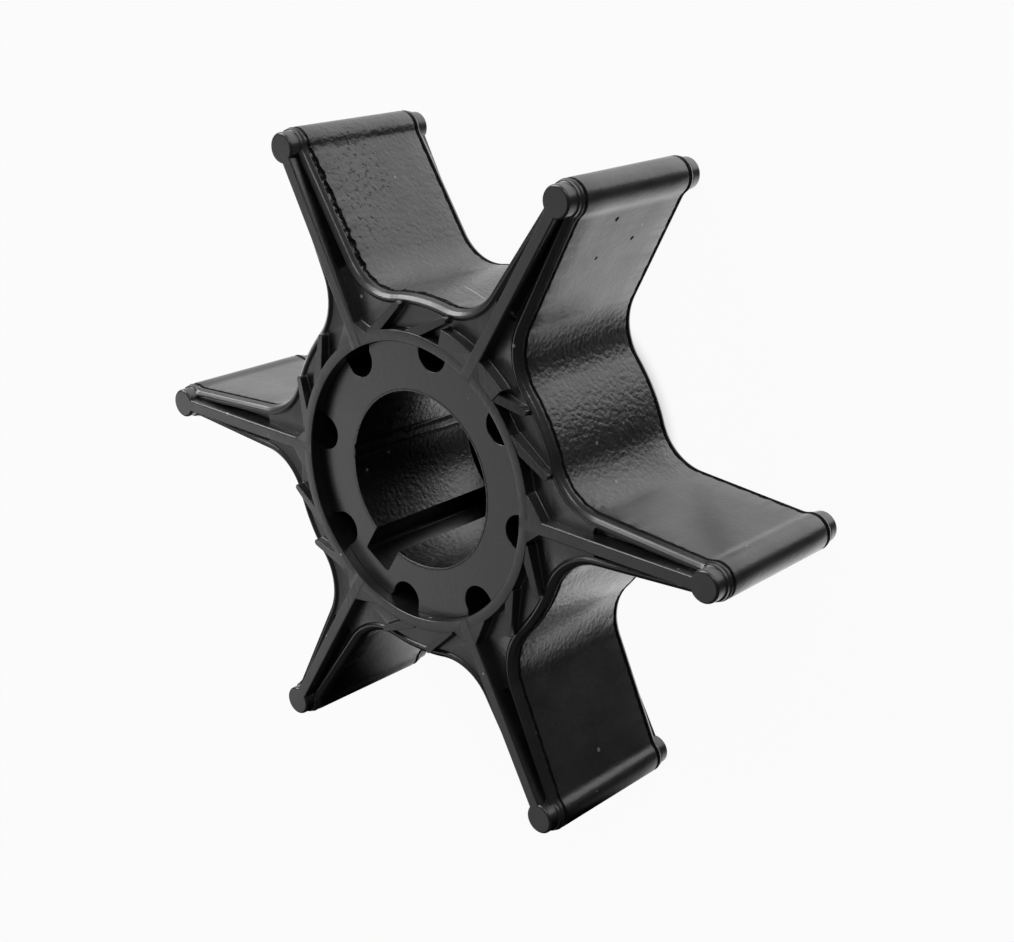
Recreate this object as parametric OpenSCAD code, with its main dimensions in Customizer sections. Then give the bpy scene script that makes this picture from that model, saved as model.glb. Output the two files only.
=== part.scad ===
// Rubber pump impeller: six flexible vanes on a hub that is moulded round a keyed plastic insert.
// Origin: on the shaft axis, in the plane of the back end face. +Z runs along the shaft to the
// front end face. One vane points along +X. All sizes are in millimetres.

/* [Overall] */
// diameter over the tips of the vanes
outer_d = 59; // [57:0.5:62]
// height between the two end faces
height = 15.2; // [13:0.2:18]
// number of vanes
vane_count = 6; // [5:1:7]

/* [Vanes] */
// thickness of a vane at its tip, measured at the centre of the bead
tip_t = 2.5; // [2.2:0.1:2.8]
// thickness of a vane at its root, measured at the radius below
root_t = 4; // [3.6:0.1:4.6]
// radius at which the root thickness is measured
root_at_r = 18; // [17:0.5:19.5]
// diameter of the bead along each tip
bead_d = 2.95; // [2.85:0.05:3.3]
// radius of the round between the bead and the side of the vane
neck_round = 1.6; // [0.8:0.1:2.4]

/* [Hub] */
// diameter of the hub between the vanes
hub_d = 29.8; // [28.8:0.2:30.8]
// radius of the round between a vane and the hub
root_round = 4.4; // [3.4:0.2:5]
// width of the raised ring round the insert
ring_w = 0.9; // [0.7:0.1:1.2]

/* [Edge relief] */
// depth of the sunk floor below the end face
floor_depth = 1; // [0.7:0.1:1.2]
// height of the rounded shoulder above the sunk floor
shoulder_rise = 0.18; // [0.05:0.01:0.3]
// distance from the side of the vane to the sunk floor
shoulder_w = 0.7; // [0.6:0.05:0.75]
// distance from the side of the vane to the top of the shoulder
shoulder_top_in = 0.42; // [0.3:0.02:0.5]
// width of the rib that stands along the middle of each vane
rib_w = 1.05; // [0.8:0.05:1.3]
// diameter of the round knob at the end of each rib
knob_d = 2.45; // [2:0.05:2.6]
// reach of the web between rib and ring, measured along the rib from the axis
web_reach = 13.9; // [13.2:0.1:15]
// width of that web on the side where it takes the place of a fin
web_wide = 2.75; // [2:0.05:3.2]
// width of that web on the other side
web_narrow = 1.75; // [1.2:0.05:2.4]

/* [Parting line] */
// distance of the parting groove from each end face
parting_in = 1.6; // [1.5:0.1:2.5]
// width of the parting groove
parting_w = 0.4; // [0.2:0.02:0.5]
// depth of the parting groove
parting_depth = 0.2; // [0.06:0.02:0.3]

/* [Fins] */
// number of fin places between two vanes, the last of which is a web
fin_places = 3; // [2:1:4]
// radius at which a fin ends
fin_tip_r = 14.25; // [13.6:0.05:14.4]
// angle of the first fin's tip ahead of the vane, in degrees
fin_first = 16; // [14:0.5:18]
// lean of a fin away from the radius at its tip, in degrees
fin_lean = 49; // [40:1:55]
// length of a fin, with the part that is sunk in the ring
fin_l = 4.2; // [3.8:0.1:4.4]
// width of a fin at its tip
fin_tip_w = 0.5; // [0.4:0.05:0.8]
// width of a fin at its root
fin_root_w = 0.9; // [0.6:0.05:1.2]
// drop of a fin's top from the ring to its tip
fin_drop = 0.3; // [0.1:0.05:0.5]

/* [Rubber left in the relief] */
// angle at which the patch begins, in degrees
patch_from = 46; // [40:1:50]
// angle at which the patch ends, in degrees
patch_to = 76; // [68:1:80]
// radius to which the patch reaches
patch_r = 13.5; // [13:0.1:13.8]

/* [Insert] */
// diameter of the insert
insert_d = 22.6; // [22.4:0.1:23]
// distance of the insert's faces from the end faces
insert_in = 1; // [0.5:0.1:2]
// diameter of the bore
bore_d = 14.3; // [12:0.1:15]
// width of the keyway
key_w = 2.8; // [2:0.1:3.4]
// distance of the keyway's bottom from the axis
key_bottom_r = 9.45; // [8.6:0.05:9.8]
// direction of the keyway, in degrees
key_turn = 240; // [236:0.5:244]
// radius of the round bottom of each side notch
notch_r = 1.4; // [1:0.1:1.5]
// distance of the centre of that round from the axis
notch_at_r = 10.7; // [10.5:0.1:10.9]
// direction of the first notch, in degrees
notch_first = -7.5; // [-10:0.5:-5]
// length of each notch that is free of rubber, at either face
notch_free = 3; // [1:0.5:5]

/* [Hidden] */

// how finely the rounded outline is cut
BEAD_STEPS = 14;
NECK_STEPS = 2;
ROUND_STEPS = 7;
HUB_STEPS = 4;
SHOULDER_STEPS = 3;
FINE = 96;

// number of notches round the insert
NOTCHES = 8;
// how far raised features are sunk into what carries them
SUNK = 0.4;
// overlap used where one solid is cut from another
CUT = 1;

RUBBER = "#232326";
BUSH = "#343437";

hub_r = hub_d / 2;
bead_r = bead_d / 2;
seat_r = insert_d / 2;
ring_r = seat_r + ring_w;
tip_r = outer_d / 2 - bead_r;
taper = atan((root_t - tip_t) / 2 / (tip_r - root_at_r));

// distance of a vane's side line from the bead's centre and from the axis
side_half = tip_t / 2 * cos(taper);
side_off = side_half + tip_r * sin(taper);

// centre of the round at a vane's neck, and the bead's angle at which it begins
neck_across = side_half + neck_round;
neck_along = sqrt(pow(bead_r + neck_round, 2) - pow(neck_across, 2));
neck_x = tip_r - neck_along * cos(taper) + neck_across * sin(taper);
neck_y = neck_along * sin(taper) + neck_across * cos(taper);
neck_turn = atan2(neck_y, neck_x - tip_r);

// centre of the round at a vane's root
round_across = side_off + root_round;
round_along = sqrt(pow(hub_r + root_round, 2) - pow(round_across, 2));
round_x = round_across * sin(taper) + round_along * cos(taper);
round_y = round_across * cos(taper) - round_along * sin(taper);
round_turn = atan2(round_y, round_x);
pitch = 360 / vane_count;

// arc of the bead, from neck to neck, on an outline moved in by o
function bead_points(o) = [
    for (i = [0:BEAD_STEPS])
        let (a = neck_turn * (2 * i / BEAD_STEPS - 1))
            [tip_r + (bead_r - o) * cos(a), (bead_r - o) * sin(a)]
];

// round from the bead to the vane's side, on the side that side_sign names
function neck_point(o, t, side_sign) =
    let (a = (180 + neck_turn) * (1 - t) + (270 - taper) * t)
        [neck_x + (neck_round + o) * cos(a), side_sign * (neck_y + (neck_round + o) * sin(a))];

// round from the vane's side to the hub, on the side that side_sign names
function round_point(o, t, side_sign) =
    let (a = (270 - taper) * (1 - t) + (180 + round_turn) * t)
        [round_x + (root_round + o) * cos(a), side_sign * (round_y + (root_round + o) * sin(a))];

function vane_points(o) = concat(
    [for (i = [ROUND_STEPS:-1:0]) round_point(o, i / ROUND_STEPS, -1)],
    [for (i = [NECK_STEPS:-1:1]) neck_point(o, i / NECK_STEPS, -1)],
    bead_points(o),
    [for (i = [1:NECK_STEPS]) neck_point(o, i / NECK_STEPS, 1)],
    [for (i = [0:ROUND_STEPS]) round_point(o, i / ROUND_STEPS, 1)]
);

function turned(points, a) = [
    for (p = points) [p.x * cos(a) - p.y * sin(a), p.x * sin(a) + p.y * cos(a)]
];

function hub_points(o, from, to) = [
    for (i = [1:HUB_STEPS - 1])
        let (a = from + (to - from) * i / HUB_STEPS)
            [(hub_r - o) * cos(a), (hub_r - o) * sin(a)]
];

// whole outline, moved in by o: each vane, then the stretch of hub after it
function outline(o) = [
    for (k = [0:vane_count - 1])
        each concat(
            turned(vane_points(o), k * pitch),
            hub_points(o, k * pitch + round_turn, (k + 1) * pitch - round_turn)
        )
];

// section of the edge, as [distance in from the side, depth below the end face]
side_depth = parting_in - parting_w / 2;
shoulder_depth = floor_depth - shoulder_rise;
edge_section = concat(
    [[shoulder_w, floor_depth]],
    [
        for (i = [0:SHOULDER_STEPS])
            let (a = 90 * i / SHOULDER_STEPS)
                [shoulder_top_in * (1 - sin(a)),
                 shoulder_depth + (side_depth - shoulder_depth) * (1 - cos(a))]
    ],
    [[parting_depth, parting_in], [0, parting_in + parting_w / 2]]
);
edge_n = len(edge_section);
levels = concat(
    edge_section,
    [for (i = [edge_n - 1:-1:0]) [edge_section[i][0], height - edge_section[i][1]]]
);

// points in one vane, points in one vane and the hub after it, and points in one outline
vane_n = 2 * (ROUND_STEPS + 1 + NECK_STEPS) + BEAD_STEPS + 1;
span_n = vane_n + HUB_STEPS - 1;
loop_n = vane_count * span_n;

// one end of the block: the hub's disc, and a strip of four-sided faces along each vane
function end_faces(first) = concat(
    [[
        for (k = [0:vane_count - 1])
            each concat(
                [first + k * span_n],
                [for (i = [vane_n - 1:span_n - 1]) first + k * span_n + i]
            )
    ]],
    [
        for (k = [0:vane_count - 1])
            for (i = [0:floor((vane_n - 3) / 2) - 1])
                let (b = first + k * span_n)
                    [b + i, b + i + 1, b + vane_n - 2 - i, b + vane_n - 1 - i]
    ],
    [
        for (k = [0:vane_count - 1])
            let (b = first + k * span_n, i = floor((vane_n - 3) / 2))
                [b + i, b + i + 1, b + i + 2]
    ]
);

function reversed(face) = [for (i = [len(face) - 1:-1:0]) face[i]];

// body of vanes and hub as one closed skin over the levels
module block() {
    points = [
        for (level = levels)
            for (p = outline(level[0])) [p.x, p.y, level[1]]
    ];
    sides = [
        for (s = [0:len(levels) - 2])
            for (i = [0:loop_n - 1])
                let (j = (i + 1) % loop_n)
                    [s * loop_n + i, (s + 1) * loop_n + i, (s + 1) * loop_n + j, s * loop_n + j]
    ];
    top = end_faces((len(levels) - 1) * loop_n);
    polyhedron(
        points = points,
        faces = concat(end_faces(0), sides, [for (f = top) reversed(f)]),
        convexity = 10
    );
}

// rib along the middle of a vane, with its knob
module rib(depth) {
    translate([seat_r, -rib_w / 2, 0])
        cube([tip_r - seat_r, rib_w, depth]);
    translate([tip_r, 0, 0])
        cylinder(h = depth, d = knob_d, $fn = FINE);
}

// web that fills the two corners between a rib and the ring
module rib_web(depth) {
    linear_extrude(depth)
        polygon([[seat_r + ring_w / 2, -web_narrow], [web_reach, 0], [seat_r + ring_w / 2, web_wide]]);
}

// one leaning fin, with its tip at the given angle
module fin(at, depth) {
    rotate(at)
        translate([fin_tip_r, 0, 0])
            rotate(-fin_lean)
                linear_extrude(depth)
                    polygon([
                        [0, -fin_tip_w / 2], [0, fin_tip_w / 2],
                        [-fin_l, fin_root_w / 2], [-fin_l, -fin_root_w / 2]
                    ]);
}

// all the fins, cut to a cone that falls from the ring to the tips
module fins(depth) {
    reach = fin_tip_r + CUT;
    intersection() {
        union() {
            for (k = [0:vane_count - 1])
                for (i = [0:fin_places - 2])
                    fin(k * pitch + fin_first + i * pitch / fin_places, depth);
        }
        rotate_extrude($fn = FINE)
            polygon([
                [0, -CUT], [reach, -CUT],
                [reach, depth - fin_drop * (reach - ring_r) / (fin_tip_r - ring_r)],
                [ring_r, depth], [0, depth]
            ]);
    }
}

// rubber that fills the relief beside one rib up to the patch radius
module patch(depth) {
    intersection() {
        difference() {
            cylinder(h = depth, r = patch_r, $fn = FINE);
            translate([0, 0, -CUT])
                cylinder(h = depth + 2 * CUT, r = ring_r - ring_w / 2, $fn = FINE);
        }
        rotate(patch_from)
            rotate_extrude(angle = patch_to - patch_from, $fn = FINE)
                translate([seat_r, -CUT])
                    square([patch_r, depth + 2 * CUT]);
    }
}

// raised features of one end; side_sign is 1 at the front and -1 at the back
module end_relief(side_sign) {
    depth = floor_depth + SUNK;
    cylinder(h = depth, r = ring_r, $fn = FINE);
    for (k = [0:vane_count - 1])
        rotate(k * pitch) {
            rib(depth);
            mirror([0, side_sign < 0 ? 1 : 0, 0])
                rib_web(depth);
        }
    mirror([0, side_sign < 0 ? 1 : 0, 0])
        fins(depth);
    if (side_sign > 0)
        patch(depth);
}

// outline of a side notch of the insert, open to the outside as far as the given radius
module notch_outline(out_r) {
    translate([notch_at_r, 0])
        circle(r = notch_r, $fn = FINE);
    translate([notch_at_r, -notch_r])
        square([out_r - notch_at_r, 2 * notch_r]);
}

module notch_places() {
    for (i = [0:NOTCHES - 1])
        rotate(notch_first + i * 360 / NOTCHES)
            children();
}

module rubber_body() {
    spline_z = insert_in + notch_free;
    color(RUBBER) {
        difference() {
            union() {
                block();
                translate([0, 0, height - floor_depth - SUNK])
                    end_relief(1);
                translate([0, 0, floor_depth + SUNK])
                    mirror([0, 0, 1])
                        end_relief(-1);
            }
            translate([0, 0, -CUT])
                cylinder(h = height + 2 * CUT, r = seat_r, $fn = FINE);
        }
        translate([0, 0, spline_z])
            linear_extrude(height - 2 * spline_z)
                notch_places()
                    notch_outline(seat_r + ring_w / 2);
    }
}

module hub_insert() {
    color(BUSH)
        translate([0, 0, insert_in])
            linear_extrude(height - 2 * insert_in)
                difference() {
                    circle(r = seat_r, $fn = FINE);
                    circle(d = bore_d, $fn = FINE);
                    rotate(key_turn)
                        translate([0, -key_w / 2])
                            square([key_bottom_r, key_w]);
                    notch_places()
                        notch_outline(seat_r + CUT);
                }
}

rubber_body();
hub_insert();
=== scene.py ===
"""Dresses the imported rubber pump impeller: a finely moulded rubber body, its keyed insert, floor, lamps, camera.

All sizes are in millimetres and become metres when a mesh is made. The origin is on the shaft axis in the
plane of the back end face, +Z runs to the front end face, and one vane points along +X.
"""
import logging
import math
from dataclasses import dataclass, field
from enum import Enum
from typing import Any, Callable, Optional, Sequence, Union

import bpy
import numpy as np
from mathutils import Matrix, Vector


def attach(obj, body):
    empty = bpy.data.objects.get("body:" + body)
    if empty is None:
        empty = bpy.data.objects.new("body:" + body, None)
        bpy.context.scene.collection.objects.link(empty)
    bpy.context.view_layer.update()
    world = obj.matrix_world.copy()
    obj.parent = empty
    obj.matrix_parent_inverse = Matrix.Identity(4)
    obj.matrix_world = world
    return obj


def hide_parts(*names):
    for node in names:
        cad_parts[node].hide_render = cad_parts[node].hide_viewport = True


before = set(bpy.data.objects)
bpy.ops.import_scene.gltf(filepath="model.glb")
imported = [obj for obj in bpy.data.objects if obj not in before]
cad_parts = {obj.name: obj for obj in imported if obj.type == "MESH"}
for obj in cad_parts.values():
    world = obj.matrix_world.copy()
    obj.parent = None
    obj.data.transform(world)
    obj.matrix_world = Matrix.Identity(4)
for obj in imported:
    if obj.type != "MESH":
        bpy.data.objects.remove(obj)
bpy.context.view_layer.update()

log = logging.getLogger("impeller")

MM = 0.001
# half the distance between the end faces, in millimetres
MIDDLE = 7.6
# where its faces meet at more than this many degrees, a piece has a crisp edge
CRISP = 32
# how far one feature's top is set below the next, so that no two flat faces share a plane
APART = 0.003

Array = np.ndarray
Outline = Callable[[Union[float, Array]], Array]
Tree = bpy.types.NodeTree
Socket = bpy.types.NodeSocket
Sockets = bpy.types.NodeOutputs
Level = Union[float, Socket]
# settings of a range node that eases in and out
SOFT = {"interpolation_type": "SMOOTHSTEP"}


class Finish(Enum):
    """Names of the record's material slots."""

    RUBBER = "moulded_rubber"
    BUSH = "bush_plastic"


class Merge(Enum):
    """How one solid is combined with another."""

    ADD = "UNION"
    CUT = "DIFFERENCE"


class End(Enum):
    """The two end faces, with the sign of the outward direction along Z."""

    FRONT = 1
    BACK = -1


# ---- meshes -------------------------------------------------------------------------------------


@dataclass
class Shell:
    """One or more closed skins: points in millimetres and faces that point outwards."""

    points: Array
    faces: list[Sequence[int]]

    @staticmethod
    def joined(shells: Sequence["Shell"]) -> "Shell":
        """Puts several skins that don't touch into one.

        Args:
            shells: the skins.

        Returns:
            One skin set that holds them all.
        """
        faces: list[Sequence[int]] = []
        first = 0
        for shell in shells:
            faces += [[first + i for i in face] for face in shell.faces]
            first += len(shell.points)
        return Shell(np.vstack([shell.points for shell in shells]), faces)

    def turned(self, degrees: float) -> "Shell":
        """Turns the skin about the shaft axis.

        Args:
            degrees: the angle.

        Returns:
            The turned skin.
        """
        a = math.radians(degrees)
        turn = np.array([[math.cos(a), math.sin(a), 0], [-math.sin(a), math.cos(a), 0], [0, 0, 1]])
        return Shell(self.points @ turn, self.faces)

    def flipped(self, height: float) -> "Shell":
        """Turns the skin over, end for end, about the X axis at half height.

        Args:
            height: distance between the end faces.

        Returns:
            The skin with y and z both reversed, so that faces still point outwards.
        """
        return Shell(self.points * [1, -1, -1] + [0, 0, height], self.faces)

    def mesh(self, name: str) -> bpy.types.Mesh:
        """Makes a Blender mesh in metres.

        Args:
            name: the mesh's name.

        Returns:
            The mesh.
        """
        made = bpy.data.meshes.new(name)
        made.from_pydata((self.points * MM).tolist(), [], self.faces)
        made.update()
        return made


def loft(rings: Array, cap: Optional[list[list[int]]] = None) -> Shell:
    """Skins a stack of rings with four-sided faces and closes both ends flat.

    The surface is P(s, t): row s of the grid is one ring, column t goes once round it, counter-clockwise seen
    from +Z when the rings rise along Z.

    Args:
        rings: points as rows of rings, shape (levels, around, 3), from the lowest to the highest.
        cap: faces that close the upper end, as places in the ring; one face when left out.

    Returns:
        The closed skin.
    """
    levels, around = rings.shape[:2]
    row = np.arange(levels - 1)[:, None] * around
    here = np.arange(around)[None, :]
    ahead = (here + 1) % around
    quads = np.stack([row + here, row + ahead, row + around + ahead, row + around + here], 2).reshape(-1, 4)
    last = (levels - 1) * around
    closing = cap or [list(range(around))]
    faces = quads.tolist() + [face[::-1] for face in closing] + [[last + i for i in face] for face in closing]
    return Shell(rings.reshape(-1, 3), faces)


def stacked(xy: Array, z: Array, cap: Optional[list[list[int]]] = None) -> Shell:
    """Skins a stack of flat outlines: P(s, t) = (xy(s, t), z(s, t)).

    Args:
        xy: the outlines, shape (levels, around, 2).
        z: their heights, one for each level, or one for each point, shape (levels, around).
        cap: faces that close the upper end, as for loft.

    Returns:
        The closed skin.
    """
    z = z[:, None] if z.ndim == 1 else z
    return loft(np.dstack([xy, np.broadcast_to(z, xy.shape[:2])]), cap)


def spun(points: Array, angle: float) -> Array:
    """Flat points turned about the shaft axis by an angle in radians."""
    c, s = math.cos(angle), math.sin(angle)
    return points @ np.array([[c, s], [-s, c]])


def lathe(profile: Sequence[Sequence[float]], steps: int) -> Shell:
    """Turns a closed profile about the shaft axis.

    P(s, t) = (r(s) cos t, r(s) sin t, z(s)), closed both along the profile and round the axis.

    Args:
        profile: (radius, height) points of a closed loop, counter-clockwise with radius to the right.
        steps: number of facets round the axis.

    Returns:
        The closed skin.
    """
    rz = np.asarray(profile, float)
    t = np.arange(steps) * 2 * math.pi / steps
    r = rz[:, 0][:, None]
    grid = np.stack([r * np.cos(t), r * np.sin(t), np.broadcast_to(rz[:, 1][:, None], (len(rz), steps))], 2)
    n = len(rz)
    here = np.arange(n)[:, None]
    ahead = (here + 1) % n
    a = np.arange(steps)[None, :]
    b = (a + 1) % steps
    quads = np.stack([here * steps + a, here * steps + b, ahead * steps + b, ahead * steps + a], 2)
    return Shell(grid.reshape(-1, 3), quads.reshape(-1, 4).tolist())


def rounded_polygon(corners: Sequence[Sequence[float]], radii: Sequence[float], steps: int) -> Outline:
    """Outline of a convex polygon whose corners are arcs about fixed centres.

    At inset o each corner's arc keeps its centre and has the radius (corner radius - o), so the whole outline
    moves in by o.

    Args:
        corners: the polygon's corners, counter-clockwise.
        radii: each corner's radius.
        steps: number of pieces in each arc.

    Returns:
        A function from the inset, one number or one for each level, to the outline's points.
    """
    p = np.asarray(corners, float)
    along = np.roll(p, -1, 0) - p
    along /= np.linalg.norm(along, axis=1)[:, None]
    out = np.stack([along[:, 1], -along[:, 0]], 1)
    before = np.roll(out, 1, 0)
    radius = np.asarray(radii, float)[:, None]
    centre = p - radius * (before + out) / (1 + np.sum(before * out, 1))[:, None]
    start = np.arctan2(before[:, 1], before[:, 0])
    turn = (np.arctan2(out[:, 1], out[:, 0]) - start) % (2 * math.pi)
    t = np.linspace(0, 1, steps + 1)
    angle = start[:, None] + turn[:, None] * t
    unit = np.stack([np.cos(angle), np.sin(angle)], 2).reshape(-1, 2)
    middle = np.repeat(centre, steps + 1, 0)
    reach = np.repeat(radius, steps + 1, 0)

    def outline(inset: Union[float, Array]) -> Array:
        """Points of the outline moved in by the inset."""
        o = np.atleast_1d(np.asarray(inset, float))[:, None, None]
        return middle + (reach - o) * unit

    return outline


def disc(x: float, y: float, radius: float, steps: int) -> Outline:
    """Outline of a circle.

    Args:
        x: centre.
        y: centre.
        radius: radius of the circle.
        steps: number of facets.

    Returns:
        A function from the inset to the outline's points.
    """
    t = np.arange(steps) * 2 * math.pi / steps
    unit = np.stack([np.cos(t), np.sin(t)], 1)

    def outline(inset: Union[float, Array]) -> Array:
        """Points of the circle made smaller by the inset."""
        o = np.atleast_1d(np.asarray(inset, float))[:, None, None]
        return np.array([x, y]) + (radius - o) * unit

    return outline


@dataclass(frozen=True)
class Section:
    """Side of a raised feature: a flare at its foot and a round along its upper edge."""

    foot: float
    base: float
    top: float
    edge: float = 0.12
    flare: float = 0.14
    steps: int = 4

    def levels(self) -> Array:
        """Gives the section as (inset, height) rows from the sunk foot up to the top.

        The flare is a quarter of a circle, 1 - sin, about the corner above the base, and so is the edge.

        Returns:
            The rows.
        """
        a = np.linspace(0, math.pi / 2, self.steps + 1)
        flare = np.stack([-self.flare * (1 - np.sin(a)), self.base + self.flare * (1 - np.cos(a))], 1)
        edge = np.stack([self.edge * (1 - np.cos(a)), self.top - self.edge * (1 - np.sin(a))], 1)
        return np.vstack([[[-self.flare, self.foot]], flare, edge])


def prism(outline: Outline, section: Section) -> Shell:
    """Carries a section round an outline and closes it flat.

    P(s, t) = (outline at inset(s), z(s)).

    Args:
        outline: function from inset to points.
        section: the side of the feature.

    Returns:
        The closed skin.
    """
    rows = section.levels()
    return stacked(outline(rows[:, 0]), rows[:, 1])


def object_of(shell: Shell, name: str) -> bpy.types.Object:
    """Links a new object that holds the skin.

    Args:
        shell: the skin.
        name: the object's name.

    Returns:
        The object, at the origin.
    """
    made = bpy.data.objects.new(name, shell.mesh(name))
    bpy.context.scene.collection.objects.link(made)
    return made


def combined(base: Shell, steps: Sequence[tuple[Merge, Shell]], name: str) -> bpy.types.Object:
    """Adds solids to a base solid or cuts them from it, and keeps one closed mesh.

    Args:
        base: the first solid.
        steps: how each further solid is combined, in order.
        name: the finished object's name.

    Returns:
        The object with its final mesh.
    """
    body = object_of(base, name)
    tools = []
    for i, (how, shell) in enumerate(steps):
        tool = object_of(shell, f"{name}_tool_{i}")
        tools.append(tool)
        step = body.modifiers.new(f"step_{i}", "BOOLEAN")
        step.operation = how.value
        step.solver = "MANIFOLD"
        step.object = tool
    graph = bpy.context.evaluated_depsgraph_get()
    final = bpy.data.meshes.new_from_object(body.evaluated_get(graph))
    body.modifiers.clear()
    body.data = final
    final.name = name
    for tool in tools:
        bpy.data.objects.remove(tool)
    return body


def smooth(piece: bpy.types.Object) -> None:
    """Shades a piece smoothly, with crisp edges where its faces meet at a clear angle.

    Args:
        piece: the object.
    """
    piece.data.shade_smooth()
    piece.data.set_sharp_from_angle(angle=math.radians(CRISP))
    weigh = piece.modifiers.new("weighted", "WEIGHTED_NORMAL")
    weigh.keep_sharp = True


def waves(s: Array, seed: int, shortest: float, longest: float, count: int) -> Array:
    """Seeded ripple along a closed or open line: a sum of cosines with random lengths and phases.

    Args:
        s: distance along the line, in millimetres.
        seed: seed of the draw.
        shortest: shortest wave.
        longest: longest wave.
        count: number of waves.

    Returns:
        The ripple, of about unit size.
    """
    draw = np.random.default_rng(seed)
    length = np.exp(draw.uniform(math.log(shortest), math.log(longest), count))
    phase = draw.uniform(0, 2 * math.pi, count)
    weight = np.sqrt(length / longest)
    waved = weight * np.cos(2 * math.pi * np.asarray(s)[..., None] / length + phase)
    return waved.sum(-1) / math.sqrt((weight**2).sum() / 2)


# ---- rubber body --------------------------------------------------------------------------------


@dataclass
class VaneOutline:
    """Outline of the six vanes and the hub, as a function of how far it is moved in."""

    outer_d: float = 58.99
    vane_count: int = 6
    tip_t: float = 2.5
    root_t: float = 4.0
    root_at_r: float = 18.0
    bead_d: float = 2.95
    hub_d: float = 29.8
    root_round: float = 4.4
    neck_round: float = 1.6
    bead_steps: int = 36
    neck_steps: int = 7
    side_steps: int = 60
    round_steps: int = 40
    hub_steps: int = 16

    def __post_init__(self) -> None:
        """Works out the centres of the arcs."""
        self.bead_r = self.bead_d / 2
        self.tip_r = self.outer_d / 2 - self.bead_r
        self.taper = math.atan((self.root_t - self.tip_t) / 2 / (self.tip_r - self.root_at_r))
        self.half_t = self.tip_t / 2 * math.cos(self.taper)
        self.hub_r = self.hub_d / 2
        across = self.half_t + self.tip_r * math.sin(self.taper) + self.root_round
        along = math.sqrt((self.hub_r + self.root_round) ** 2 - across**2)
        sin, cos = math.sin(self.taper), math.cos(self.taper)
        self.round_at = np.array([across * sin + along * cos, across * cos - along * sin])
        self.round_turn = math.atan2(self.round_at[1], self.round_at[0])
        lift = self.half_t + self.neck_round
        back = math.sqrt((self.bead_r + self.neck_round) ** 2 - lift**2)
        self.neck_at = np.array([self.tip_r - back * cos + lift * sin, back * sin + lift * cos])
        self.neck_turn = math.atan2(self.neck_at[1], self.neck_at[0] - self.tip_r)

    def half_width(self, r: float) -> float:
        """Half the vane's width at a radius."""
        return (self.half_t + (self.tip_r - r) * math.sin(self.taper)) / math.cos(self.taper)

    def side_out(self) -> Array:
        """Outward direction of the upper side of the vane that points along +X."""
        return np.array([math.sin(self.taper), math.cos(self.taper)])

    @staticmethod
    def arc(centre: Array, radius: Array, angle: Array) -> Array:
        """Points centre + radius (cos angle, sin angle)."""
        return np.stack([centre[0] + radius * np.cos(angle), centre[1] + radius * np.sin(angle)], -1)

    def half_vane(self, inset: Array) -> Array:
        """Upper side of one vane that points along +X, from the bead's crown to the hub.

        Bead arc (radius - o), neck arc (radius + o), straight side, root arc (radius + o): each arc keeps its
        centre, and the straight side joins the ends of its neighbours.

        Args:
            inset: how far in each level and place is, shape (levels, count).

        Returns:
            Points, shape (levels, count, 2).
        """
        side_angle = 1.5 * math.pi - self.taper
        ends = np.cumsum([self.bead_steps // 2 - 1, self.neck_steps + 1, self.side_steps - 1])
        in_bead, in_neck, in_side, in_root = np.split(inset, ends, 1)
        bead = self.neck_turn * np.arange(1, self.bead_steps // 2) / (self.bead_steps // 2)
        t = np.linspace(0, 1, self.neck_steps + 1)
        neck = (self.neck_turn + math.pi) * (1 - t) + side_angle * t
        t = np.linspace(0, 1, self.round_steps + 1)
        root = side_angle * (1 - t) + (math.pi + self.round_turn) * t
        bead_points = self.arc(np.array([self.tip_r, 0.0]), self.bead_r - in_bead, bead)
        neck_points = self.arc(self.neck_at, self.neck_round + in_neck, neck)
        root_points = self.arc(self.round_at, self.root_round + in_root, root)
        t = (np.arange(1, self.side_steps) / self.side_steps)[:, None]
        near = self.neck_at - self.neck_round * self.side_out()
        far = self.round_at - self.root_round * self.side_out()
        side_points = near * (1 - t) + far * t - in_side[:, :, None] * self.side_out()
        return np.concatenate([bead_points, neck_points, side_points, root_points], 1)

    def counts(self) -> tuple[int, int, int]:
        """Counts the points of the outline's parts.

        Returns:
            Points in half a vane without its crown, in a vane, and in a vane with the hub after it.
        """
        half = self.bead_steps // 2 - 1 + self.neck_steps + 1 + self.side_steps - 1 + self.round_steps + 1
        vane = 2 * half + 1
        return half, vane, vane + self.hub_steps - 1

    def points(self, inset: Union[float, Array]) -> Array:
        """Whole outline, moved in by the inset: each vane, then the stretch of hub after it.

        Args:
            inset: one number, or one for each level and place, shape (levels, around).

        Returns:
            Points, shape (levels, around, 2), counter-clockwise.
        """
        half_n, vane_n, span_n = self.counts()
        around = self.vane_count * span_n
        o = np.asarray(inset, float)
        o = np.broadcast_to(o, (1, around)) if o.ndim == 0 else o
        pitch = 2 * math.pi / self.vane_count
        b = np.linspace(self.round_turn, pitch - self.round_turn, self.hub_steps + 1)[1:-1]
        turned = []
        for k in range(self.vane_count):
            own = o[:, k * span_n:(k + 1) * span_n]
            lower = (self.half_vane(own[:, :half_n][:, ::-1]) * [1, -1])[:, ::-1]
            crown = self.arc(np.array([self.tip_r, 0.0]), self.bead_r - own[:, half_n:half_n + 1], np.zeros(1))
            upper = self.half_vane(own[:, half_n + 1:vane_n])
            hub = self.arc(np.zeros(2), self.hub_r - own[:, vane_n:], b)
            turned.append(spun(np.concatenate([lower, crown, upper, hub], 1), k * pitch))
        return np.concatenate(turned, 1)

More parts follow.
